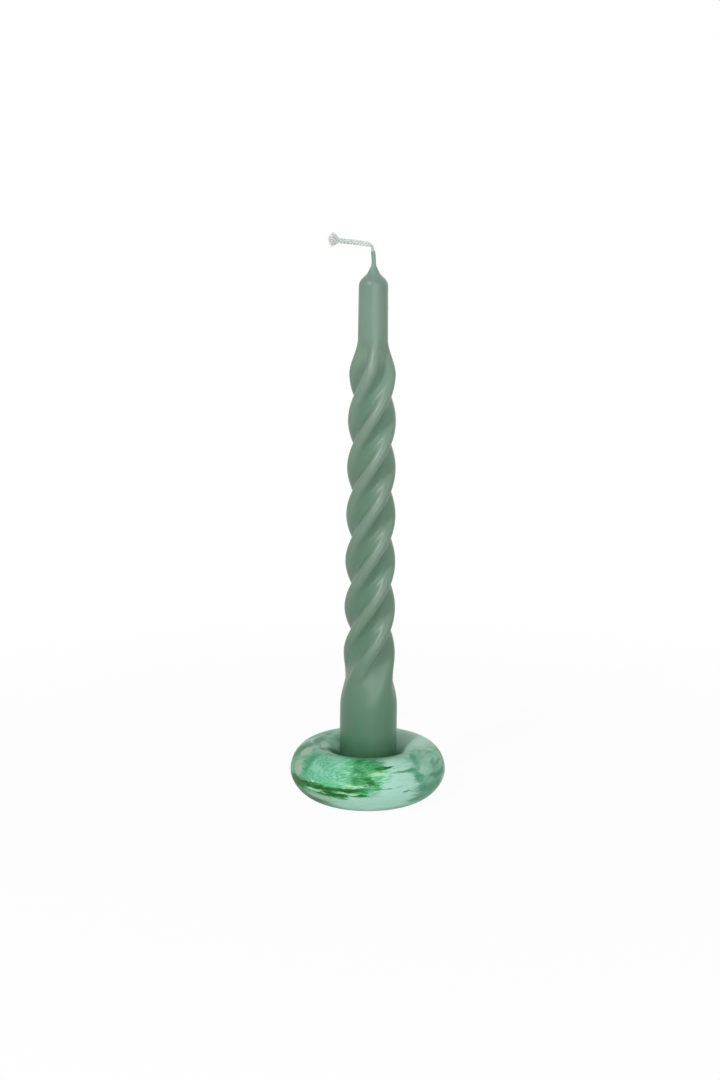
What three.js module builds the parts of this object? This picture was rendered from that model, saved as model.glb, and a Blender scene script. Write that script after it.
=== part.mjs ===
// A twisted taper candle standing in a marbled ring holder.
// Millimetres, +Z up. The origin is the centre of the holder's flat foot, on the surface that it stands on.
import * as THREE from "three";

// Clearance between the candle and its socket, between the wax layers, and round the wick
const fitClearance = 0.3;

// Ring holder: a near-oval tube bent into a ring, with a blind socket for the candle
const ringHeight = 19.5;
const widestHeight = 9.3; // height at which the ring is widest
const tubeWidth = 18.4;
const underside = 1.7; // fullness of the section below its widest height, where 2 is a true oval
const footTrim = 0.35; // depth sanded off the section to make the flat foot
const socketFloor = 3;

// Candle lengths, stacked from its foot to the tip of its cone
const baseLength = 30.8;
const twistLength = 139.5;
const neckLength = 18.8;
const coneHeight = 6.6;

// Candle radii; a crest is the top of a lobe of the twist
const baseRadius = 11;
const baseTopRadius = 10.88;
const footCrestRadius = 9.95;
const topCrestRadius = 8.6;
const neckFootRadius = 5.54;
const neckTopRadius = 5.41;
const coneTipRadius = 1.45;

// The cone's outline: how far it is drawn straight up out of the shoulder, and straight down from its tip
const coneSwell = 3.5;
const coneHollow = 3.6;

// The candle stands loose in its socket and leans to the right
const candleLean = THREE.MathUtils.degToRad(0.6);

// Lobed section of the twist at its foot; the section shrinks with the crest radius above it
const lobeCount = 4;
const lobeRounding = 2.9; // radius of a lobe's round crest
const grooveRounding = 6; // radius of the hollow between two lobes
const twistPitch = 70.6; // height of one whole turn, right-handed
const firstCrestAngle = THREE.MathUtils.degToRad(35.9);

// How far from its ends the twist takes to reach its full rate, its full depth and its own taper
const footRateEase = 21;
const topRateEase = 20.5;
const footDepthEase = 27.5;
const topDepthEase = 4.5;
const footTaperEase = 17;
const topTaperEase = 14;

// Wax layers and wick
const coatThickness = 1;
const wickRadius = 0.9;
const stubHeight = 8; // coated wick standing above the cone
const stubLean = 0.7; // how far the stub leans to the left at its top
const freeEndReach = 11.6; // bent wick, from the bend to the start of its frayed tip
const freeEndRise = 1.2;
const freeEndArch = 0.25; // how far the bent wick bows up from a straight line
const tuftRadius = 2.65;
const tuftFlare = 2.5; // length over which the frayed tip opens
const tuftTip = 1.7; // length over which it closes again
const tuftTipRadius = 0.45;

// Fineness of the solids
const pointsPerLobe = 8;
const twistStep = 3.5;
const boreStep = 7;
const coneSteps = 6;
const ovalSteps = 28;
const ringSegments = 48;
const wickSides = 10;
const wickSteps = 5;
const capSteps = 3;

// Heights and radii that follow from the sizes above
const candleFoot = socketFloor + fitClearance;
const twistFoot = candleFoot + baseLength;
const twistTop = twistFoot + twistLength;
const shoulder = twistTop + neckLength;
const coneTip = shoulder + coneHeight;
const socketRadius = baseRadius + fitClearance;
const boreRadius = wickRadius + fitClearance;
const coreInset = coatThickness + fitClearance;
const bend = new THREE.Vector3(-stubLean, 0, coneTip + stubHeight);

function smoothStep(value) {
  return THREE.MathUtils.smoothstep(value, 0, 1);
}

// The section's lobes are arcs, joined by hollow arcs that touch them. The angle is measured from a crest.
function lobedRadius(angle) {
  const halfLobe = Math.PI / lobeCount;
  const fromCrest = Math.abs(THREE.MathUtils.euclideanModulo(angle + halfLobe, 2 * halfLobe) - halfLobe);
  const lobeCentre = footCrestRadius - lobeRounding;
  const reach = lobeRounding + grooveRounding;
  const sideways = lobeCentre * Math.sin(halfLobe);
  const hollowCentre = lobeCentre * Math.cos(halfLobe) + Math.sqrt(reach ** 2 - sideways ** 2);
  const touchX = lobeCentre + ((hollowCentre * Math.cos(halfLobe) - lobeCentre) * lobeRounding) / reach;
  const touchY = (hollowCentre * Math.sin(halfLobe) * lobeRounding) / reach;
  if (fromCrest < Math.atan2(touchY, touchX)) {
    const offset = lobeCentre * Math.sin(fromCrest);
    return lobeCentre * Math.cos(fromCrest) + Math.sqrt(lobeRounding ** 2 - offset ** 2);
  }
  const offset = hollowCentre * Math.sin(halfLobe - fromCrest);
  return hollowCentre * Math.cos(halfLobe - fromCrest) - Math.sqrt(grooveRounding ** 2 - offset ** 2);
}

// Radius of the crests, and of the plain round parts below and above the twist
function crestRadius(height) {
  if (height <= twistFoot) {
    return THREE.MathUtils.mapLinear(height, candleFoot, twistFoot, baseRadius, baseTopRadius);
  }
  if (height >= twistTop) {
    return THREE.MathUtils.mapLinear(height, twistTop, shoulder, neckFootRadius, neckTopRadius);
  }
  const taper = THREE.MathUtils.mapLinear(height, twistFoot, twistTop, footCrestRadius, topCrestRadius);
  const fromFoot = smoothStep((height - twistFoot) / footTaperEase);
  const fromTop = smoothStep((twistTop - height) / topTaperEase);
  const lower = THREE.MathUtils.lerp(baseTopRadius, taper, fromFoot);
  return THREE.MathUtils.lerp(neckFootRadius, lower, fromTop);
}

// Share of the full groove depth at a height
function grooveShare(height) {
  return smoothStep((height - twistFoot) / footDepthEase) * smoothStep((twistTop - height) / topDepthEase);
}

// Angle of a crest at a height: the twist starts and stops gently
function crestAngle(height) {
  const climb = THREE.MathUtils.clamp(height - twistFoot, 0, twistLength);
  const slowStart = Math.min(climb, footRateEase);
  const slowEnd = Math.max(climb - (twistLength - topRateEase), 0);
  const lost = slowStart - slowStart ** 2 / (2 * footRateEase) + slowEnd ** 2 / (2 * topRateEase);
  return firstCrestAngle + ((climb - lost) * 2 * Math.PI) / twistPitch;
}

// One ring of points round the candle's outer surface, moved in towards the axis by an inset
function waxRing(height, inset) {
  const count = lobeCount * pointsPerLobe;
  const crest = crestRadius(height);
  return Array.from({ length: count }, (_, i) => {
    const fromCrest = (i * 2 * Math.PI) / count;
    const grooveDepth = crest * (1 - lobedRadius(fromCrest) / footCrestRadius);
    const radius = crest - grooveShare(height) * grooveDepth - inset;
    const angle = crestAngle(height) + fromCrest;
    return new THREE.Vector3(radius * Math.cos(angle), radius * Math.sin(angle), height);
  });
}

// A round ring with as many points as a wax ring, which line up with those of the wax ring at its height
function roundRing(height, radius) {
  const count = lobeCount * pointsPerLobe;
  return Array.from({ length: count }, (_, i) => {
    const angle = crestAngle(height) + (i * 2 * Math.PI) / count;
    return new THREE.Vector3(radius * Math.cos(angle), radius * Math.sin(angle), height);
  });
}

// Skin over a stack of rings. A closed stack joins its last ring to its first, and an open one gets end caps.
function loft(rings, closed) {
  const count = rings[0].length;
  const points = rings.flat();
  const faces = [];
  const bands = closed ? rings.length : rings.length - 1;
  for (let band = 0; band < bands; band++) {
    const low = band * count;
    const high = ((band + 1) % rings.length) * count;
    for (let i = 0; i < count; i++) {
      const next = (i + 1) % count;
      const [a, b, c, d] = [low + i, low + next, high + next, high + i];
      const leaning = points[a].distanceTo(points[c]) < points[b].distanceTo(points[d]);
      faces.push(...(leaning ? [a, b, c, a, c, d] : [a, b, d, b, c, d]));
    }
  }
  if (!closed) {
    const last = (rings.length - 1) * count;
    const startCentre = points.push(centreOf(rings[0])) - 1;
    const endCentre = points.push(centreOf(rings.at(-1))) - 1;
    for (let i = 0; i < count; i++) {
      const next = (i + 1) % count;
      faces.push(startCentre, next, i, endCentre, last + i, last + next);
    }
  }
  const geometry = new THREE.BufferGeometry().setFromPoints(points).setIndex(faces);
  geometry.computeVertexNormals();
  return geometry;
}

function centreOf(ring) {
  return ring.reduce((sum, point) => sum.add(point), new THREE.Vector3()).divideScalar(ring.length);
}

// A round ring square to a direction that lies in the XZ plane
function squareRing(centre, direction, radius) {
  const across = new THREE.Vector3(0, -1, 0);
  const up = new THREE.Vector3().crossVectors(direction, across).normalize();
  return Array.from({ length: wickSides }, (_, i) => {
    const angle = (i * 2 * Math.PI) / wickSides;
    return centre
      .clone()
      .addScaledVector(across, radius * Math.cos(angle))
      .addScaledVector(up, radius * Math.sin(angle));
  });
}

// Rings of one radius along a curve
function curveRings(curve, radius) {
  return Array.from({ length: wickSteps + 1 }, (_, i) => {
    const share = i / wickSteps;
    return squareRing(curve.getPoint(share), curve.getTangent(share), radius);
  });
}

function heightsBetween(low, high, step) {
  const count = Math.ceil((high - low) / step);
  return Array.from({ length: count + 1 }, (_, i) => THREE.MathUtils.lerp(low, high, i / count));
}

// Heights of the rings up the candle, close together only where it is twisted
function candleHeights(step) {
  return [candleFoot, ...heightsBetween(twistFoot, twistTop, step), shoulder];
}

// A point of the ring's section. The angle runs from its outermost point over its top to the socket.
function sectionPoint(angle) {
  const fullness = angle < 0 ? underside : 2;
  const halfHeight = angle < 0 ? widestHeight + footTrim : ringHeight - widestHeight;
  const across = Math.cos(angle);
  const up = Math.sin(angle);
  const reach = (Math.abs(across) ** fullness + Math.abs(up) ** fullness) ** (-1 / fullness);
  const radius = socketRadius + (tubeWidth / 2) * (1 + reach * across);
  return new THREE.Vector2(radius, widestHeight + halfHeight * reach * up);
}

function ringHolder() {
  const footUp = widestHeight / (widestHeight + footTrim);
  const footAcross = (1 - footUp ** underside) ** (1 / underside);
  const footAngle = Math.atan2(footUp, footAcross);
  const profile = [new THREE.Vector2(0, 0)];
  for (let i = 0; i <= ovalSteps; i++) {
    profile.push(sectionPoint(THREE.MathUtils.lerp(-footAngle, Math.PI, i / ovalSteps)));
  }
  profile.push(new THREE.Vector2(socketRadius, socketFloor), new THREE.Vector2(0, socketFloor));
  return new THREE.LatheGeometry(profile, ringSegments).rotateX(Math.PI / 2);
}

// The bore's points turn with the twist, so that they still meet those of the outside at the foot
function waxCore() {
  const outside = candleHeights(twistStep).map((height) => waxRing(height, coreInset));
  const bore = candleHeights(boreStep).map((height) => roundRing(height, boreRadius));
  return loft([...outside, ...bore.reverse()], true);
}

// The cone swells out of the shoulder and draws in to the wick
function coneRings() {
  const curve = new THREE.CubicBezierCurve(
    new THREE.Vector2(neckTopRadius, shoulder),
    new THREE.Vector2(neckTopRadius, shoulder + coneSwell),
    new THREE.Vector2(coneTipRadius, coneTip - coneHollow),
    new THREE.Vector2(coneTipRadius, coneTip),
  );
  return curve.getPoints(coneSteps).map((point) => roundRing(point.y, point.x));
}

function colourCoat() {
  const side = candleHeights(twistStep).slice(0, -1);
  const outside = side.map((height) => waxRing(height, 0));
  const ceiling = shoulder + fitClearance;
  const bore = [roundRing(coneTip, boreRadius), roundRing(ceiling, boreRadius)];
  const underCeiling = roundRing(ceiling, neckTopRadius - coatThickness);
  const inside = side.map((height) => waxRing(height, coatThickness));
  return loft([...outside, ...coneRings(), ...bore, underCeiling, ...inside.reverse()], true);
}

// The standing wick runs from the candle's foot to the bend, where it ends in a round knuckle
function standingWick() {
  const foot = new THREE.Vector3(0, 0, candleFoot);
  const tip = new THREE.Vector3(0, 0, coneTip);
  const belowBend = new THREE.Vector3(0, 0, THREE.MathUtils.lerp(coneTip, bend.z, 0.5));
  const stub = new THREE.QuadraticBezierCurve3(tip, belowBend, bend);
  const upwards = stub.getTangent(1);
  const knuckle = Array.from({ length: capSteps }, (_, i) => {
    const angle = ((i + 1) * Math.PI) / (2 * (capSteps + 1));
    const centre = bend.clone().addScaledVector(upwards, wickRadius * Math.sin(angle));
    return squareRing(centre, upwards, wickRadius * Math.cos(angle));
  });
  const straight = squareRing(foot, new THREE.Vector3(0, 0, 1), wickRadius);
  return loft([straight, ...curveRings(stub, wickRadius), ...knuckle], false);
}

// The free end starts square to the knuckle's centre, so that it can swing round the knuckle, and ends frayed
function freeEnd() {
  const braidEnd = bend.clone().add(new THREE.Vector3(-freeEndReach, 0, freeEndRise));
  const middle = bend.clone().lerp(braidEnd, 0.5);
  middle.z += 2 * freeEndArch; // the curve bows up half as far as its middle point
  const outwards = middle.clone().sub(bend).normalize();
  const start = bend.clone().addScaledVector(outwards, wickRadius + fitClearance);
  const braid = new THREE.QuadraticBezierCurve3(start, middle, braidEnd);
  const along = braid.getTangent(1);
  const flare = squareRing(braidEnd.clone().addScaledVector(along, tuftFlare), along, tuftRadius);
  const tip = squareRing(braidEnd.clone().addScaledVector(along, tuftFlare + tuftTip), along, tuftTipRadius);
  return loft([...curveRings(braid, wickRadius), flare, tip], false);
}

function piece(name, geometry, colour, roughness) {
  const material = new THREE.MeshStandardMaterial({ color: colour, roughness, metalness: 0 });
  const mesh = new THREE.Mesh(geometry, material);
  mesh.name = name;
  return mesh;
}

const holder = new THREE.Group();
holder.add(piece("ring_holder", ringHolder(), "#93c4ab", 0.45));

const candle = new THREE.Group();
candle.add(piece("wax_core", waxCore(), "#e9e6d8", 0.6));
candle.add(piece("colour_coat", colourCoat(), "#6f9a7f", 0.5));
candle.add(piece("wick", standingWick(), "#86a898", 0.8));
candle.add(piece("wick_free_end", freeEnd(), "#d5d9d2", 0.9));

// It rests on the right-hand edge of its foot
const footEdge = new THREE.Vector3(baseRadius, 0, candleFoot);
candle.rotation.y = candleLean;
candle.position.copy(footEdge).sub(footEdge.clone().applyEuler(candle.rotation));

const group = new THREE.Group();
group.add(holder, candle);

export default group;
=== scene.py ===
import math
import random

import bmesh
import bpy
from mathutils import Matrix, Vector


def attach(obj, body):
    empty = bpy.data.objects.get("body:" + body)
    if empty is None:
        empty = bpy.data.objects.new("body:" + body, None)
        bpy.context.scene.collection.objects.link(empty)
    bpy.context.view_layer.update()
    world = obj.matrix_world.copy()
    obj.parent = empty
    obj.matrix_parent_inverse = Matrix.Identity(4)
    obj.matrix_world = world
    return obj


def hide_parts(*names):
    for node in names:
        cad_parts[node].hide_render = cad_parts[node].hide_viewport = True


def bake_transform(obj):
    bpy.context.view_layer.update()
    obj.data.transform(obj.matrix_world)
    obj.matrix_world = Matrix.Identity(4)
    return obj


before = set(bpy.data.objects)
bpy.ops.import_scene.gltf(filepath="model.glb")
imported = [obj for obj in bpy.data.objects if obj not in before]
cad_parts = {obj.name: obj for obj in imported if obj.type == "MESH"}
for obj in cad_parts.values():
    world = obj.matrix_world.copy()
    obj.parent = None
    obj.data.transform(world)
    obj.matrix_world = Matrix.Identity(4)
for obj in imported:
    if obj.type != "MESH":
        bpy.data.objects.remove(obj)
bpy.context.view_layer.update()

# A twisted taper candle standing in a marbled ring holder.
# Shapes are made in millimetres, in the solids' own frame, and become metres when their mesh is finished.
MILLIMETRE = 0.001
weld = 0.001  # points of a turned shape that are nearer than this become one

# Ring holder
clearance = 0.3
ring_height = 19.5
widest_height = 9.3
tube_width = 18.4
underside = 1.7  # fullness of the section below its widest height, where 2 is a true oval
foot_trim = 0.35  # how far the section would reach below the flat foot that cuts it off
socket_floor = 3
ring_segments = 192
ring_step = math.radians(3)

# Candle lengths and radii, stacked from its foot; a crest is the top of a lobe of the twist
base_length = 30.8
twist_length = 139.5
neck_length = 18.8
base_radius = 11
base_top_radius = 10.88
foot_crest_radius = 9.95
top_crest_radius = 8.6
neck_foot_radius = 5.54
neck_top_radius = 5.41
coat_thickness = 1
foot_edge = 0.5  # rounding of the foot's edge
candle_lean = math.radians(0.6)

# Lobed section of the twist at its foot, and how it winds and fades at both ends. An ease is the length
# over which the turning, the grooves or the taper come in.
lobe_count = 4
lobe_rounding = 2.9
groove_rounding = 6
twist_pitch = 70.6
first_crest_angle = math.radians(35.9)
foot_rate_ease = 21
top_rate_ease = 20.5
foot_depth_ease = 27.5
top_depth_ease = 4.5
foot_taper_ease = 17
top_taper_ease = 14

# Drawn-out cone, as (radius, height above the shoulder), and the thin skin of wax up the wick's stub
CONE_POINTS = [
    (neck_top_radius, -1.2),
    (5.36, 0.1),
    (5.09, 1.15),
    (4.4, 2.3),
    (3.35, 3.3),
    (2.36, 4.35),
    (1.8, 5.4),
    (1.42, 6.2),
    (0.98, 7.1),
    (0.85, 8),
]
stub_skin_radius = 0.81
stub_bore_radius = 0.7
stub_skin_height = 13.1
stub_end_radius = 0.6
stub_end_ease = 1.6
stub_lean = 0.52

# Spacing of the coat's points: round it, and up its twist, cone and skin. The plain foot and the plain top
# have one row each, so far below and above the twist.
coat_segments = 128
twist_step = 1.25
cone_step = 0.3
skin_step = 0.2
row_below_twist = 10
row_above_twist = 9

# Wick: its strands, and the heart inside them. Wax squeezes the braid, which opens where the wax ends, so
# far along the centre line.
strands_each_way = 4
braid_radius = 0.58
strand_radius = 0.26
strand_weave = 0.2
braid_pitch = 4.6
braid_step = 0.12
waxed_share = 0.5
opening_start = 9
opening_length = 2.4
core_radius = 0.42
buried_core_radius = 0.55
core_step = 0.5

# Centre line of the wick from inside the cone to its frayed tip, as (across, height above the shoulder)
WICK_POINTS = [
    (0, 4.6),
    (0, 7.8),
    (-0.1, 9.6),
    (-0.38, 12),
    (-0.52, 13.2),
    (-0.72, 13.9),
    (-1.5, 14.48),
    (-3.86, 15.02),
    (-7.6, 15.46),
    (-10.9, 15.7),
    (-12.5, 15.9),
]

# Frayed tip of the wick
tuft_fibres = 340
tuft_length = 4.3
tuft_spread = math.radians(45)
tuft_root = 0.5
shortest_fibre = 0.7
fibre_points = 7
fibre_wave = 0.12
fibre_root_radius = 0.13
fibre_end_radius = 0.17

# Camera, fitted to the photograph. Its focal length and the photograph's height are in pixels.
camera_place = (-2.95, -550, 192.8)
camera_pitch = math.radians(9.74)
focal_length = 1487.8
photo_height = 1080

# Square lamps, as (name, azimuth, elevation, distance, side, watts), all aimed half-way up the candle. The
# angles are in degrees. Azimuth 0 is the camera's side, and lamps to the right of it are above 0.
LAMPS = [
    ("key", -37, 38, 900, 60, 2.9),
    ("left", -72, 39, 900, 200, 0.45),
    ("front", 12, 12, 1200, 700, 5.2),
    ("right", 50, 10, 1000, 800, 1.1),
    ("back_right", 125, 30, 1000, 1000, 1.6),
    ("above", 0, 80, 900, 500, 0.4),
    ("behind", 180, 6, 1200, 1000, 2.4),
]
lamp_aim_height = 100
ambient_strength = 0.16  # of the world's light on the object, where 1 is white

# Floor: near the object a small share of its own shading shows, and with it the object's shadow
floor_half_width = 3000
shading_share = 0.05
shading_full_within = 60
shading_gone_beyond = 400

candle_foot = socket_floor + clearance
twist_foot = candle_foot + base_length
twist_top = twist_foot + twist_length
shoulder = twist_top + neck_length
cone_tip = shoulder + CONE_POINTS[-1][1]
stub_top = shoulder + stub_skin_height
tuft_start = WICK_POINTS[-1][0]
socket_radius = base_radius + clearance


def lerp(low, high, share):
    return low + (high - low) * share


def smooth_step(value):
    value = min(max(value, 0), 1)
    return value * value * (3 - 2 * value)


def even_steps(low, high, step):
    count = math.ceil((high - low) / step)
    return [lerp(low, high, i / count) for i in range(count + 1)]


def lobed_radius(angle):
    """Radius of the lobed section: crest arcs joined by hollow arcs. The angle is measured from a crest."""
    half_lobe = math.pi / lobe_count
    from_crest = abs((angle + half_lobe) % (2 * half_lobe) - half_lobe)
    lobe_centre = foot_crest_radius - lobe_rounding
    reach = lobe_rounding + groove_rounding
    sideways = lobe_centre * math.sin(half_lobe)
    hollow_centre = lobe_centre * math.cos(half_lobe) + math.sqrt(reach**2 - sideways**2)
    touch_x = lobe_centre + (hollow_centre * math.cos(half_lobe) - lobe_centre) * lobe_rounding / reach
    touch_y = hollow_centre * math.sin(half_lobe) * lobe_rounding / reach
    if from_crest < math.atan2(touch_y, touch_x):
        offset = lobe_centre * math.sin(from_crest)
        return lobe_centre * math.cos(from_crest) + math.sqrt(lobe_rounding**2 - offset**2)
    offset = hollow_centre * math.sin(half_lobe - from_crest)
    return hollow_centre * math.cos(half_lobe - from_crest) - math.sqrt(groove_rounding**2 - offset**2)


def crest_radius(height):
    """Radius of the candle at a height, measured over its crests where it is twisted."""
    if height <= twist_foot:
        return lerp(base_radius, base_top_radius, (height - candle_foot) / base_length)
    if height >= twist_top:
        return lerp(neck_foot_radius, neck_top_radius, (height - twist_top) / neck_length)
    taper = lerp(foot_crest_radius, top_crest_radius, (height - twist_foot) / twist_length)
    lower = lerp(base_top_radius, taper, smooth_step((height - twist_foot) / foot_taper_ease))
    return lerp(neck_foot_radius, lower, smooth_step((twist_top - height) / top_taper_ease))


def groove_share(height):
    """Share of the full groove depth at a height."""
    from_foot = smooth_step((height - twist_foot) / foot_depth_ease)
    return from_foot * smooth_step((twist_top - height) / top_depth_ease)


def crest_angle(height):
    """Angle of a crest at a height: the twist starts and stops gently."""
    climb = min(max(height - twist_foot, 0), twist_length)
    slow_start = min(climb, foot_rate_ease)
    slow_end = max(climb - (twist_length - top_rate_ease), 0)
    lost = slow_start - slow_start**2 / (2 * foot_rate_ease) + slow_end**2 / (2 * top_rate_ease)
    return first_crest_angle + (climb - lost) * math.tau / twist_pitch


def skin_radius(height):
    """Outer radius of the thin skin of wax on the wick's stub: it draws in where it ends."""
    return lerp(stub_skin_radius, stub_end_radius, smooth_step((height - stub_top) / stub_end_ease + 1))


def stub_shift(height):
    """How far the wick's stub has bent to the left at a height."""
    return -stub_lean * (max(height - cone_tip, 0) / (stub_top - cone_tip)) ** 2


def turned(outline, segments):
    """A turned shape from its closed outline of (radius, height) points."""
    shape = bmesh.new()
    points = [shape.verts.new((radius, 0, height)) for radius, height in outline]
    edges = [shape.edges.new(pair) for pair in zip(points, points[1:] + points[:1])]
    bmesh.ops.spin(
        shape,
        geom=points + edges,
        cent=(0, 0, 0),
        axis=(0, 0, 1),
        angle=math.tau,
        steps=segments,
        use_merge=True,
    )
    bmesh.ops.remove_doubles(shape, verts=shape.verts, dist=weld)
    bmesh.ops.dissolve_degenerate(shape, edges=shape.edges, dist=weld)
    bmesh.ops.recalc_face_normals(shape, faces=shape.faces)
    return shape


def lean_candle(shape):
    """Leans a shape with the candle, which rests on the right-hand edge of its foot."""
    rest = Vector((base_radius, 0, candle_foot))
    bmesh.ops.rotate(shape, verts=shape.verts, cent=rest, matrix=Matrix.Rotation(candle_lean, 3, "Y"))


def finished(name, shape, material, sharp=40):
    """Turns a shape in millimetres into a piece in metres. Edges of more than sharp degrees stay sharp."""
    bmesh.ops.scale(shape, verts=shape.verts, vec=(MILLIMETRE,) * 3)
    mesh = bpy.data.meshes.new(name)
    shape.to_mesh(mesh)
    shape.free()
    mesh.shade_smooth()
    mesh.set_sharp_from_angle(angle=math.radians(sharp))
    mesh.materials.append(material)
    piece = bpy.data.objects.new(name, mesh)
    bpy.context.scene.collection.objects.link(piece)
    return piece


def smooth_line(points, step):
    """Closely spaced points along a smooth curve that passes through the given points."""
    points = [Vector(point) for point in points]
    padded = [2 * points[0] - points[1], *points, 2 * points[-1] - points[-2]]
    line = []
    for before, start, end, after in zip(padded, padded[1:], padded[2:], padded[3:]):
        count = max(round((end - start).length / step), 1)
        for i in range(count):
            t = i / count
            line.append(
                start
                + (end - before) * t / 2
                + (before - 2.5 * start + 2 * end - 0.5 * after) * t**2
                + (3 * start - before - 3 * end + after) * t**3 / 2
            )
    return [*line, points[-1]]


class Wire:
    """A socket of a material's nodes. Arithmetic on it adds Math nodes."""

    def __init__(self, recipe, socket):
        self.recipe = recipe
        self.socket = socket

    def math(self, operation, *others):
        values = dict(enumerate((self, *others)))
        return self.recipe.add("ShaderNodeMath", {"operation": operation}, values)

    def __add__(self, other):
        return self.math("ADD", other)

    def __sub__(self, other):
        return self.math("SUBTRACT", other)

    def __rsub__(self, other):
        return self.recipe.add("ShaderNodeMath", {"operation": "SUBTRACT"}, {0: other, 1: self})

    def __mul__(self, other):
        return self.math("MULTIPLY", other)

    def __truediv__(self, other):
        return self.math("DIVIDE", other)

    def __pow__(self, other):
        return self.math("POWER", other)

    __radd__ = __add__
    __rmul__ = __mul__


class Recipe:
    """The nodes of one material, or of the world."""

    def __init__(self, owner):
        self.owner = owner
        owner.use_nodes = True
        self.tree = owner.node_tree
        self.tree.nodes.clear()

    def add(self, kind, settings=None, sockets=None, output=0):
        """Adds a node: its settings first, then its sockets' values or wires. Gives one output's wire."""
        node = self.tree.nodes.new(kind)
        for name, value in (settings or {}).items():
            if name == "stops":
                set_stops(node.color_ramp, value)
            else:
                setattr(node, name, value)
        for key, value in (sockets or {}).items():
            if isinstance(value, Wire):
                self.tree.links.new(value.socket, node.inputs[key])
            else:
                node.inputs[key].default_value = value
        return Wire(self, node.outputs[output])

    def coordinates(self):
        """Object coordinates in millimetres."""
        place = self.add("ShaderNodeTexCoord", output="Object")
        return self.add("ShaderNodeVectorMath", {"operation": "SCALE"}, {0: place, "Scale": 1 / MILLIMETRE})

    def split(self, vector):
        node = self.add("ShaderNodeSeparateXYZ", None, {0: vector}).socket.node
        return [Wire(self, node.outputs[i]) for i in range(3)]

    def join(self, x, y, z):
        return self.add("ShaderNodeCombineXYZ", None, {0: x, 1: y, 2: z})

    def length(self, vector):
        return self.add("ShaderNodeVectorMath", {"operation": "LENGTH"}, {0: vector}, output="Value")

    def noise(self, vector, scale, detail=3, roughness=0.5, output=0):
        sockets = {"Vector": vector, "Scale": scale, "Detail": detail, "Roughness": roughness}
        return self.add("ShaderNodeTexNoise", None, sockets, output)

    def grain(self, vector, scale, detail=3, roughness=0.5, output=0):
        """A noise with a scale of its own in each direction."""
        stretched = self.add("ShaderNodeVectorMath", {"operation": "MULTIPLY"}, {0: vector, 1: scale})
        return self.noise(stretched, 1, detail, roughness, output)

    def placed(self, plane, centre=(0, 0), half_sizes=(1, 1), tilt=0):
        """A plane's coordinates from an oval's centre, along its tilted axes, in its half sizes."""
        sockets = {
            "Vector": plane,
            "Location": (*centre, 0),
            "Rotation": (0, 0, math.radians(tilt)),
            "Scale": (*half_sizes, 1),
        }
        return self.add("ShaderNodeMapping", {"vector_type": "TEXTURE"}, sockets)

    def warped(self, vector, scale, amount, detail):
        """Coordinates moved to and fro by a noise."""
        noise = self.grain(vector, scale, detail, 0.6, output="Color")
        shift = self.add("ShaderNodeVectorMath", {"operation": "SUBTRACT"}, {0: noise, 1: (0.5, 0.5, 0.5)})
        sockets = {0: shift, 1: amount, 2: vector}
        return self.add("ShaderNodeVectorMath", {"operation": "MULTIPLY_ADD"}, sockets)

    def patches(self, plane, ovals, edge):
        """1 inside any of the ovals and 0 away from them. The edge is the share of an oval that fades."""
        inside = None
        for centre, half_sizes, tilt in ovals:
            distance = self.length(self.placed(plane, centre, half_sizes, tilt))
            oval = self.step(distance, 1 + edge / 2, 1 - edge / 2)
            inside = inside.math("MAXIMUM", oval) if inside else oval
        return inside

    def painted(self, plane, colour, layers):
        """Lays patches over a colour. A layer is (ovals, share that fades, strength, screen colour)."""
        for ovals, edge, strength, shade in layers:
            colour = self.mix(self.patches(plane, ovals, edge) * strength, colour, tint(*shade))
        return colour

    def step(self, value, low, high):
        """0 on low's side of the two values, 1 on high's side, and smooth between them."""
        settings = {"interpolation_type": "SMOOTHSTEP"}
        return self.add("ShaderNodeMapRange", settings, {0: value, 1: low, 2: high, 3: 0, 4: 1})

    def mix(self, share, first, second, blend="MIX"):
        settings = {"data_type": "RGBA", "blend_type": blend}
        return self.add("ShaderNodeMix", settings, {0: share, 6: first, 7: second}, output=2)

    def ramp(self, value, stops):
        return self.add("ShaderNodeValToRGB", {"stops": stops}, {0: value})

    def bump(self, height, distance):
        """A bump in millimetres."""
        return self.add("ShaderNodeBump", None, {"Height": height, "Distance": distance * MILLIMETRE})

    def seen_directly(self):
        """1 where the camera looks, also in a reflection, and 0 for the light on the object."""
        camera = self.add("ShaderNodeLightPath", output="Is Camera Ray")
        glossy = self.add("ShaderNodeLightPath", output="Is Glossy Ray")
        clear = self.add("ShaderNodeLightPath", output="Is Transmission Ray")
        return camera.math("MAXIMUM", glossy).math("MAXIMUM", clear)

    def surface(self, **sockets):
        """The material with one shader, from its sockets' names with underscores for spaces."""
        named = {name.replace("_", " "): value for name, value in sockets.items()}
        return self.finish(self.add("ShaderNodeBsdfPrincipled", None, named))

    def finish(self, shader, kind="ShaderNodeOutputMaterial"):
        output = self.tree.nodes.new(kind)
        self.tree.links.new(shader.socket, output.inputs["Surface"])
        return self.owner


def set_stops(ramp, stops):
    """Gives a colour ramp its stops, as (position, colour on a screen)."""
    while len(ramp.elements) < len(stops):
        ramp.elements.new(1)
    for element, (position, colour) in zip(ramp.elements, stops):
        element.position = position
        element.color = tint(*colour)


def tint(red, green, blue):
    """A colour as it is seen on a screen, 0 to 255, made linear for the shader."""
    def linear(level):
        level = level / 255
        return level / 12.92 if level <= 0.04045 else ((level + 0.055) / 1.055) ** 2.4

    return (linear(red), linear(green), linear(blue), 1)


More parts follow.
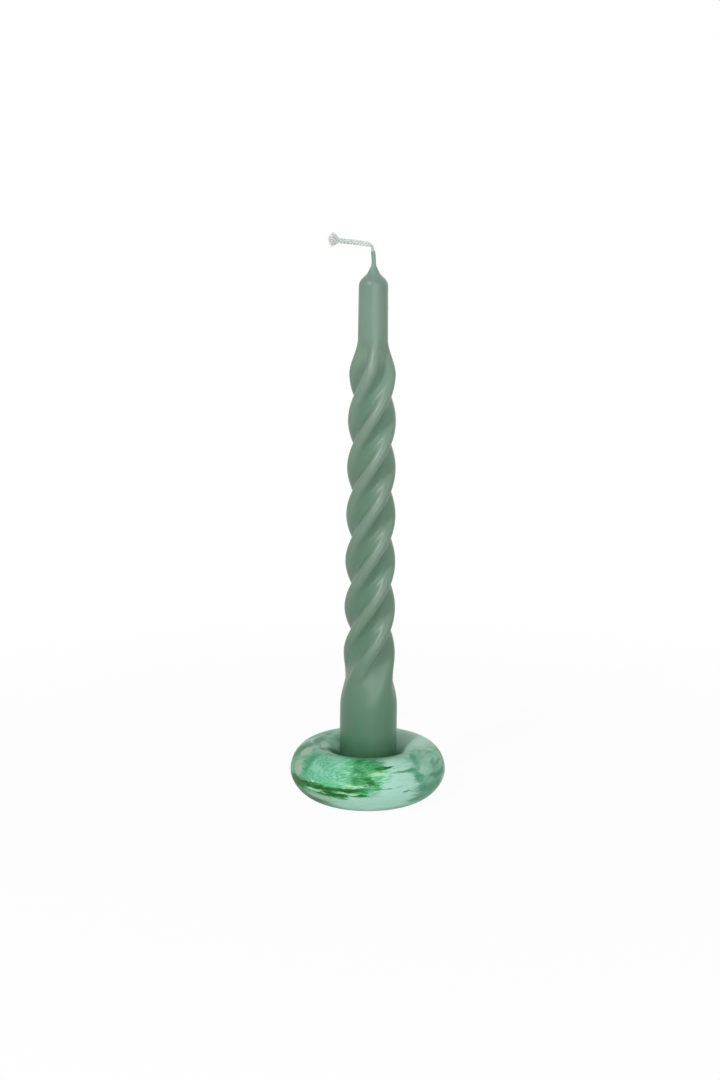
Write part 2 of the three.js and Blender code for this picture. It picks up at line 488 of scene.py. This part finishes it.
def green_wax():
    """Satin wax: greener low on the candle and greyer higher up, with painted shade round its foot and in
    its hollows, and a painted highlight towards the cone's tip.
    """
    recipe = Recipe(bpy.data.materials.new("green_wax"))
    place = recipe.coordinates()
    x, y, z = recipe.split(place)
    # Colour by height: darker and greener towards the foot, partly the wax's own colour and partly painted
    # shade by the socket. The cone's foot is a little darker with painted shade, and its tip and the stub
    # are paler and bluer, partly the stub's own colour and partly a painted highlight.
    stops = [
        (0, (64, 107, 78)),
        (0.12, (77, 124, 96)),
        (0.2, (88, 129, 105)),
        (0.3, (110, 139, 119)),
        (0.8, (117, 143, 125)),
        (0.88, (116, 143, 126)),
        (0.93, (115, 142, 127)),
        (0.97, (110, 139, 125)),
        (1, (126, 158, 148)),
    ]
    crest = recipe.ramp(z / cone_tip, stops)
    # Painted shade: the hollows are made darker and greener, as their own shading would make them.
    hollow = recipe.add("ShaderNodeAttribute", {"attribute_name": "hollow"}, output="Fac")
    hollow_shade = recipe.mix(1, crest, (0.6, 0.8, 0.71, 1), blend="MULTIPLY")
    colour = recipe.mix(recipe.step(hollow, 0.42, 1.05), crest, hollow_shade)
    # A faint cloudiness, drawn out along the candle
    cloud = recipe.noise(recipe.join(x, y, z * 0.4), 0.12, 3)
    colour = recipe.mix(recipe.step(cloud, 0.4, 0.7) * 0.25, colour, tint(104, 128, 98))
    fine = recipe.noise(place, 1.4, 4)
    # Where the skin of wax ends on the wick's stub, the pale cotton shows through
    thin = recipe.step(z + fine * 0.8, stub_top - 0.9, stub_top + 0.5)
    colour = recipe.mix(thin, colour, tint(186, 202, 192))
    return recipe.surface(
        Base_Color=colour,
        Roughness=0.32 + fine * 0.1,
        Specular_IOR_Level=0.45,
        Normal=recipe.bump(fine, 0.02),
        Subsurface_Weight=0.08,
        Subsurface_Radius=(0.6, 1, 0.7),
        Subsurface_Scale=1.5 * MILLIMETRE,
    )


def plain_wax():
    """Undyed wax inside the candle, seen only at its foot."""
    recipe = Recipe(bpy.data.materials.new("plain_wax"))
    place = recipe.coordinates()
    cloud = recipe.noise(place, 0.3, 4)
    colour = recipe.mix(cloud, tint(232, 229, 214), tint(216, 212, 196))
    return recipe.surface(Base_Color=colour, Roughness=0.5, Normal=recipe.bump(cloud, 0.1))


# The ring's marbling, with some painted shade by the socket, is laid out on a plane in degrees. The turn
# runs from the ring's front to its right, and the section angle from its outermost line over its top to the
# socket. A patch is a list of ovals, as (centre, half sizes, tilt).
PALE_POOL = [((22, 20), (17, 70), 0), ((5, -22), (30, 15), 0)]
FEATHERED_POOL = [((-30, 50), (31, 54), 0), ((-8, 46), (23, 52), 0)]
POOL_BORDER = [((-57, 55), (6, 44), 0), ((-50, 98), (26, 12), -10)]
BRIGHT_GREEN = [((-36, 9), (26, 10), 0), ((-2, 34), (13, 34), 0), ((-4, 74), (16, 26), 0)]
DARK_MOTTLE = [((0, 78), (14, 30), 0), ((-4, 30), (11, 22), 0)]
FOREST_STREAK = [
    ((-67, -7), (15, 15), 0),
    ((-51, 3), (14, 8), 0),
    ((-35, 4), (11, 8), 0),
    ((-27, -8), (14, 10), -6),
    ((-13, 5), (13, 6), 8),
    ((-7, -4), (6, 5), 0),
]
FOREST_BLOTCHES = [((9, 56), (6, 7), 20), ((1, 26), (4, 12), 10), ((16, 57), (5, 3.5), 0)]
GREEN_BLOTCHES = [
    ((8, 80), (6, 18), 0),
    ((-7, 80), (4, 14), -10),
    ((-7, 50), (3, 10), 20),
    ((-10, 30), (3, 7), 0),
]
DARK_THREADS = [
    ((8, 10.5), (14, 1.5), 3),
    ((29, 44), (8, 2), -8),
    ((32, 0), (6, 1.6), 0),
    ((-7, 47), (9, 2), -20),
]
PALE_LENSES = [
    ((-40, -5), (6, 2.8), -4),
    ((-14, -2), (7, 2.4), 4),
    ((-7, 16), (9, 2.8), -16),
    ((7, 43), (9, 3), -4),
    ((-43, 14), (2.5, 6), 0),
]
TEAL_HOOKS = [
    ((40, 26), (3.5, 16), 8),
    ((46, 72), (3.5, 20), -8),
    ((37, 42), (7, 3), -12),
    ((44, -2), (6, 12), 0),
]
GREY_VEINS = [
    ((71, 39), (7, 3.5), 0),
    ((66, 13), (10, 5), 10),
    ((56, -10), (14, 12), 0),
    ((44, -30), (15, 13), 0),
]
# Painted shade on the ring's top in front of the candle, by the socket
SOCKET_SHADE = [((24, 98), (20, 10), 0), ((-4, 98), (24, 10), 0)]
# Dark green sweeps of the marbling on the ring's left; the long first oval, on the inner slope, is also
# painted shade by the socket
GREEN_SWEEPS_AND_SOCKET_SHADE = [
    ((-84, 133), (32, 11), -38),
    ((-99, 96), (16, 9), -22),
    ((-85, 60), (7, 32), 0),
    ((-70, 104), (12, 8), -30),
]
OLIVE_SHADE = [((-53, -44), (19, 15), 0), ((-67, -25), (13, 11), -20)]
PALE_BACK = [((114, 108), (46, 50), 0)]
PALE_UNDERSIDE = [((-4, -42), (27, 15), 0)]
BEIGE_BLOBS = [
    ((-65, 30), (8, 19), 0),
    ((-72, 68), (7, 15), 0),
    ((-88, 113), (17, 6), -36),
    ((-26, -25), (24, 8), 0),
]


def ring_plane(recipe, place):
    """Turn and section angle on the ring, in degrees, from coordinates in millimetres."""
    x, y, z = recipe.split(place)
    away = (x * x + y * y) ** 0.5 - (socket_radius + tube_width / 2)
    turn = x.math("ARCTAN2", 0 - y) * math.degrees(1)
    section = (z - widest_height).math("ARCTAN2", away) * math.degrees(1)
    return recipe.join(turn, section, 0)


def ring_streams(recipe, place):
    """Colour all round the ring, in streams that run long in the direction of its turn."""
    x, y, z = recipe.split(place)
    radius = (x * x + y * y) ** 0.5
    along, across = 2.6, 0.17
    around = recipe.join(x / radius * along, y / radius * along, radius * across)
    sockets = {"Vector": around, "W": z * across, "Scale": 1, "Detail": 4, "Distortion": 1.5}
    flow = recipe.add("ShaderNodeTexNoise", {"noise_dimensions": "4D"}, sockets)
    stops = [
        (0.3, (78, 140, 108)),
        (0.42, (114, 172, 142)),
        (0.52, (132, 186, 158)),
        (0.62, (154, 202, 178)),
        (0.76, (180, 214, 192)),
    ]
    return flow, recipe.ramp(flow, stops)


def feathered_mint(recipe, plane, soft, fine):
    """The mint pool: faint wavy contours, and light flecks and a dark network towards its right."""
    distance = recipe.length(recipe.placed(soft, centre=(2, 40), half_sizes=(50, 62)))
    wobble = recipe.grain(plane, (0.09, 0.07, 1))
    contour = ((distance * 62 + wobble * 26 + fine * 7).math("SINE") + 1) / 2
    colour = recipe.mix(contour * 0.8, tint(94, 180, 140), tint(136, 212, 176))
    cloud = recipe.grain(plane, (0.05, 0.04, 1))
    colour = recipe.mix(recipe.step(cloud, 0.45, 0.65) * 0.5, colour, tint(158, 224, 194))
    greener = [
        (POOL_BORDER, 1, 0.8, (62, 148, 102)),
        (BRIGHT_GREEN, 1.2, 0.7, (84, 190, 122)),
    ]
    colour = recipe.painted(soft, colour, greener)
    turn = recipe.split(plane)[0]
    toward_right = recipe.step(turn, -40, -16)
    flecks = recipe.grain(recipe.placed(plane, tilt=48), (0.1, 0.34, 1), 5, 0.7)
    colour = recipe.mix(recipe.step(flecks, 0.51, 0.62) * toward_right * 0.85, colour, tint(172, 236, 196))
    colour = recipe.mix(recipe.step(flecks, 0.46, 0.36) * toward_right * 0.7, colour, tint(62, 158, 92))
    ridge = (fine - 0.5).math("ABSOLUTE")
    network = recipe.patches(soft, DARK_MOTTLE, 0.9) * recipe.step(ridge, 0.09, 0.025)
    colour = recipe.mix(network * 0.9, colour, tint(40, 126, 62))
    return recipe.painted(soft, colour, [(GREEN_BLOTCHES, 1.5, 0.8, (32, 128, 66))])


def marbled_plastic():
    """Cast plastic marbled in mint, forest green and greyish green, with painted shade by the socket."""
    recipe = Recipe(bpy.data.materials.new("marbled_plastic"))
    place = recipe.coordinates()
    plane = ring_plane(recipe, place)
    # The plane warped three ways, for edges that are soft, hooked or ragged
    soft = recipe.warped(plane, (0.07, 0.05, 1), (9, 14, 0), 3)
    hooked = recipe.warped(plane, (0.12, 0.14, 1), (14, 20, 0), 4)
    ragged = recipe.warped(plane, (0.1, 0.2, 1), (32, 24, 0), 5)
    fine = recipe.grain(ragged, (0.26, 0.2, 1), 4, 0.6)
    flow, colour = ring_streams(recipe, place)

    # The pools, from the ring's back and sides to its front; the green sweeps also carry painted shade on
    # the inner slope by the socket
    outlying = [
        (PALE_BACK, 0.8, 0.85, (184, 226, 207)),
        (PALE_UNDERSIDE, 1.2, 0.8, (188, 222, 208)),
        (GREY_VEINS, 1.1, 0.8, (78, 134, 106)),
        (GREEN_SWEEPS_AND_SOCKET_SHADE, 1, 0.85, (50, 112, 74)),
        (OLIVE_SHADE, 1, 0.9, (66, 102, 66)),
        (BEIGE_BLOBS, 0.4, 0.85, (172, 202, 174)),
    ]
    colour = recipe.painted(soft, colour, outlying)
    pale = recipe.ramp(fine, [(0.35, (160, 210, 190)), (0.6, (176, 222, 204))])
    colour = recipe.mix(recipe.patches(ragged, PALE_POOL, 0.6), colour, pale)
    colour = recipe.painted(hooked, colour, [(TEAL_HOOKS, 1.3, 0.9, (70, 150, 116))])
    mint = feathered_mint(recipe, plane, soft, fine)
    colour = recipe.mix(recipe.patches(ragged, FEATHERED_POOL, 0.3), colour, mint)
    # Painted shade on the ring's top by the socket
    colour = recipe.painted(soft, colour, [(SOCKET_SHADE, 1.2, 0.6, (70, 128, 92))])

    # The dark streak and its blotches have torn edges, and are darkest in their middles
    threads = recipe.grain(ragged, (0.06, 0.2, 1), 5, 0.7)
    mottle = (threads - 0.5) * 1.8 + (fine - 0.5) * 1.2
    forest = recipe.patches(ragged, FOREST_STREAK + FOREST_BLOTCHES, 1.6) + mottle
    colour = recipe.mix(recipe.step(forest, 0.3, 0.62) * 0.8, colour, tint(58, 166, 92))
    greens = recipe.ramp(fine, [(0.38, (10, 84, 26)), (0.5, (16, 102, 38)), (0.62, (36, 136, 66))])
    colour = recipe.mix(recipe.step(forest, 0.45, 0.8), colour, greens)
    colour = recipe.mix(recipe.step(forest, 0.85, 1.2), colour, tint(34, 78, 2))
    thin_marks = [
        (DARK_THREADS, 0.9, 0.9, (56, 130, 92)),
        (PALE_LENSES, 0.9, 0.85, (182, 230, 188)),
    ]
    colour = recipe.painted(ragged, colour, thin_marks)
    roughness = 0.45 + fine * 0.15
    bump = recipe.bump(flow, 0.05)
    return recipe.surface(Base_Color=colour, Roughness=roughness, Specular_IOR_Level=0.3, Normal=bump)


def cotton(name, clean, shadow):
    """Cotton with the coat's green in it: soaked at the end of the skin, and tinged up to the tuft."""
    recipe = Recipe(bpy.data.materials.new(name))
    place = recipe.coordinates()
    x, _, z = recipe.split(place)
    fibre = recipe.noise(place, 5, 3)
    colour = recipe.mix(recipe.step(fibre, 0.35, 0.65), shadow, clean)
    soaked = recipe.step(z + fibre * 1.2, stub_top + 1.3, stub_top + 0.1)
    colour = recipe.mix(soaked, colour, tint(150, 176, 164))
    tinged = recipe.step(x, -2, -10) * recipe.step(x, tuft_start - 0.7, tuft_start + 0.1)
    colour = recipe.mix(tinged * 0.25, colour, tint(150, 190, 166))
    return recipe.surface(Base_Color=colour, Roughness=0.85, Normal=recipe.bump(fibre, 0.06))


def section_point(angle):
    """A point of the ring's section. The angle runs from its outermost point over its top to the socket."""
    fullness = underside if angle < 0 else 2
    half_height = widest_height + foot_trim if angle < 0 else ring_height - widest_height
    across, up = math.cos(angle), math.sin(angle)
    reach = (abs(across) ** fullness + abs(up) ** fullness) ** (-1 / fullness)
    return socket_radius + tube_width / 2 * (1 + reach * across), widest_height + half_height * reach * up


def ring_holder():
    """A near-oval tube bent into a ring, with a blind socket and a flat foot."""
    foot_up = widest_height / (widest_height + foot_trim)
    foot_angle = math.atan2(foot_up, (1 - foot_up**underside) ** (1 / underside))
    angles = even_steps(-foot_angle, math.pi, ring_step)
    outline = [(0, 0), *map(section_point, angles), (socket_radius, socket_floor), (0, socket_floor)]
    return finished("marbled_ring", turned(outline, ring_segments), marbled_plastic())


def coat_outline():
    """Up the outside, over the cone and the stub's skin, down the bore and back down the inside."""
    twist = even_steps(twist_foot, twist_top, twist_step)
    sides = [twist_foot - row_below_twist, *twist, twist_top + row_above_twist]
    outside = [
        (base_radius - foot_edge, candle_foot),
        (base_radius - 0.3 * foot_edge, candle_foot + 0.3 * foot_edge),
        (base_radius, candle_foot + foot_edge),
    ]
    outside += [(crest_radius(height), height) for height in sides]
    cone = [(radius, shoulder + height) for radius, height in smooth_line(CONE_POINTS, cone_step)]
    skin = [(skin_radius(height), height) for height in even_steps(cone_tip, stub_top, skin_step)[1:]]
    bore_foot = shoulder + clearance
    wall = stub_skin_radius - stub_bore_radius
    bore = [(skin_radius(height) - wall, height) for height in even_steps(bore_foot, stub_top, skin_step)]
    ceiling = (neck_top_radius - coat_thickness, bore_foot)
    inside = [(crest_radius(height) - coat_thickness, height) for height in [candle_foot, *sides]]
    return outside + cone + skin + bore[::-1] + [ceiling] + inside[::-1]


def colour_coat():
    """The round coat is turned first, then its stretch is grooved and twisted, and its stub bent."""
    shape = turned(coat_outline(), coat_segments)
    # Each point's share of the full groove depth, which the wax reads for its painted shade in the hollows.
    hollow = shape.verts.layers.float.new("hollow")
    deepest = foot_crest_radius - lobed_radius(math.pi / lobe_count)
    for point in shape.verts:
        height = point.co.z
        around = math.atan2(point.co.y, point.co.x)
        radius = math.hypot(point.co.x, point.co.y)
        depth = groove_share(height) * (foot_crest_radius - lobed_radius(around))
        point[hollow] = depth / deepest * smooth_step((twist_top - height) / top_taper_ease)
        radius -= depth * crest_radius(height) / foot_crest_radius
        turn = around + crest_angle(height)
        point.co.x = radius * math.cos(turn) + stub_shift(height)
        point.co.y = radius * math.sin(turn)
    lean_candle(shape)
    return finished("twisted_coat", shape, green_wax(), sharp=60)


def wick_route(step):
    """Short steps along the wick's centre line, as (place, direction) pairs."""
    route = smooth_line([(across, 0, shoulder + height) for across, height in WICK_POINTS], step)
    directions = [(end - start).normalized() for start, end in zip(route, route[1:])]
    return list(zip(route, directions + directions[-1:]))


def tubes(name, lines, material):
    """One mesh piece of round tubes. Each line is a list of (place, radius) in millimetres."""
    curve = bpy.data.curves.new(name, "CURVE")
    curve.dimensions = "3D"
    curve.bevel_depth = 1
    curve.bevel_resolution = 1
    curve.use_fill_caps = True
    for line in lines:
        spline = curve.splines.new("POLY")
        spline.points.add(len(line) - 1)
        for point, (place, radius) in zip(spline.points, line):
            point.co = (*place, 1)
            point.radius = radius
    holder = bpy.data.objects.new(name, curve)
    bpy.context.scene.collection.objects.link(holder)
    shape = bmesh.new()
    shape.from_mesh(bpy.data.meshes.new_from_object(holder))
    bpy.data.objects.remove(holder)
    lean_candle(shape)
    return finished(name, shape, material)


def wick_thickness(distance):
    """Share of the braid's full thickness: wax squeezes it up to the end of the skin, and then it opens."""
    return lerp(waxed_share, 1, smooth_step((distance - opening_start) / opening_length))


def braid():
    """Round strands winding both ways round the wick, over and under each other in turn."""
    route = wick_route(braid_step)
    sideways = Vector((0, -1, 0))
    lines = []
    for hand in (1, -1):
        for number in range(strands_each_way):
            line = []
            distance = 0
            for i, (place, direction) in enumerate(route):
                if i:
                    distance += (place - route[i - 1][0]).length
                share = wick_thickness(distance)
                turn = distance * math.tau / braid_pitch
                angle = hand * turn + math.tau * number / strands_each_way
                away = share * (braid_radius + hand * strand_weave * math.cos(strands_each_way * turn))
                up = direction.cross(sideways)
                centre = place + away * (math.cos(angle) * sideways + math.sin(angle) * up)
                line.append((centre, share * strand_radius))
            lines.append(line)
    return tubes("wick_braid", lines, cotton("bare_braid", tint(240, 242, 238), tint(202, 213, 205)))


def wick_core():
    """The heart of the wick, from the candle's foot up, inside the braid."""
    line = [(Vector((0, 0, candle_foot)), buried_core_radius)]
    line += [(step[0], core_radius) for step in wick_route(core_step)]
    # The heart's dark green is its wax, and along the bare braid it is also painted shade in the gaps
    # between the strands.
    return tubes("wick_core", [line], cotton("waxed_braid", tint(100, 130, 112), tint(70, 100, 80)))


def tuft():
    """The frayed tip: fine fibres that fan out from the end of the braid, the middle ones longest."""
    chance = random.Random(5)
    start, direction = wick_route(1)[-1]
    sideways = Vector((0, -1, 0))
    up = direction.cross(sideways)
    lines = []
    for fibre in range(tuft_fibres):
        around = chance.uniform(0, math.tau)
        spread = tuft_spread * chance.random() ** 0.75
        out = sideways * math.cos(around) + up * math.sin(around)
        length = tuft_length * lerp(1, 0.84, spread) * chance.uniform(shortest_fibre, 1)
        line = []
        for i in range(fibre_points):
            t = i / (fibre_points - 1)
            angle = spread * lerp(1.1, 0.95, t)
            place = start + out * tuft_root * math.sin(spread)
            place = place + direction * length * t * math.cos(angle) + out * length * t * math.sin(angle)
            wave = fibre_wave * t * Vector([chance.uniform(-1, 1) for axis in range(3)])
            line.append((place + wave, lerp(fibre_root_radius, fibre_end_radius, t)))
        lines.append(line)
    return tubes("wick_tuft", lines, cotton("frayed_cotton", tint(240, 240, 237), tint(232, 233, 230)))


def softbox(name, azimuth, elevation, distance, side, watts):
    """A square lamp that shines on the candle."""
    aim = Vector((0, 0, lamp_aim_height)) * MILLIMETRE
    turn, rise = math.radians(azimuth), math.radians(elevation)
    away = Vector((math.sin(turn) * math.cos(rise), -math.cos(turn) * math.cos(rise), math.sin(rise)))
    lamp = bpy.data.lights.new(name, "AREA")
    lamp.size = side * MILLIMETRE
    lamp.energy = watts
    holder = bpy.data.objects.new(name, lamp)
    holder.location = aim + away * distance * MILLIMETRE
    holder.rotation_euler = away.to_track_quat("Z", "Y").to_euler()
    bpy.context.scene.collection.objects.link(holder)


def white_surround():
    """A world that is seen as white and lights the object softly."""
    world = bpy.data.worlds.new("studio")
    bpy.context.scene.world = world
    recipe = Recipe(world)
    strength = recipe.seen_directly() * (1 - ambient_strength) + ambient_strength
    background = recipe.add("ShaderNodeBackground", None, {"Color": (1, 1, 1, 1), "Strength": strength})
    recipe.finish(background, "ShaderNodeOutputWorld")


def floor():
    """A wide white floor that keeps a faint shadow of the object."""
    recipe = Recipe(bpy.data.materials.new("floor_white"))
    away = recipe.length(recipe.coordinates())
    near = recipe.step(away, shading_gone_beyond, shading_full_within)
    diffuse = recipe.add("ShaderNodeBsdfDiffuse", None, {"Color": (0.95, 0.95, 0.95, 1)})
    glow = recipe.add("ShaderNodeEmission", None, {"Color": (1, 1, 1, 1), "Strength": 1})
    share = recipe.seen_directly() * (1 - near * shading_share)
    shader = recipe.add("ShaderNodeMixShader", None, {0: share, 1: diffuse, 2: glow})
    shape = bmesh.new()
    bmesh.ops.create_grid(shape, x_segments=1, y_segments=1, size=floor_half_width)
    finished("floor", shape, recipe.finish(shader))


def photo_camera():
    """The photograph's own view of the candle."""
    camera = bpy.data.cameras.new("photo_camera")
    camera.lens = camera.sensor_width * focal_length / photo_height
    holder = bpy.data.objects.new("photo_camera", camera)
    holder.location = Vector(camera_place) * MILLIMETRE
    holder.rotation_euler = (math.pi / 2 - camera_pitch, 0, 0)
    bpy.context.scene.collection.objects.link(holder)
    bpy.context.scene.camera = holder


photo_camera()
white_surround()
for lamp in LAMPS:
    softbox(*lamp)
floor()

ring = ring_holder()
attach(ring, "holder")
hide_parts("ring_holder")

coat = colour_coat()
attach(coat, "candle")
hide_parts("colour_coat")

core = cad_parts["wax_core"]
core.data.materials.clear()
core.data.materials.append(plain_wax())

# The wick's heart and its braid run across the wick's bend and keep the places they were built in.
heart = wick_core()
strands = braid()
for piece in (heart, strands):
    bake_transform(piece)
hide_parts("wick")
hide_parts("wick_free_end")
tip = tuft()
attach(tip, "wick_tip")

scene = bpy.context.scene
scene.view_settings.view_transform = "Standard"
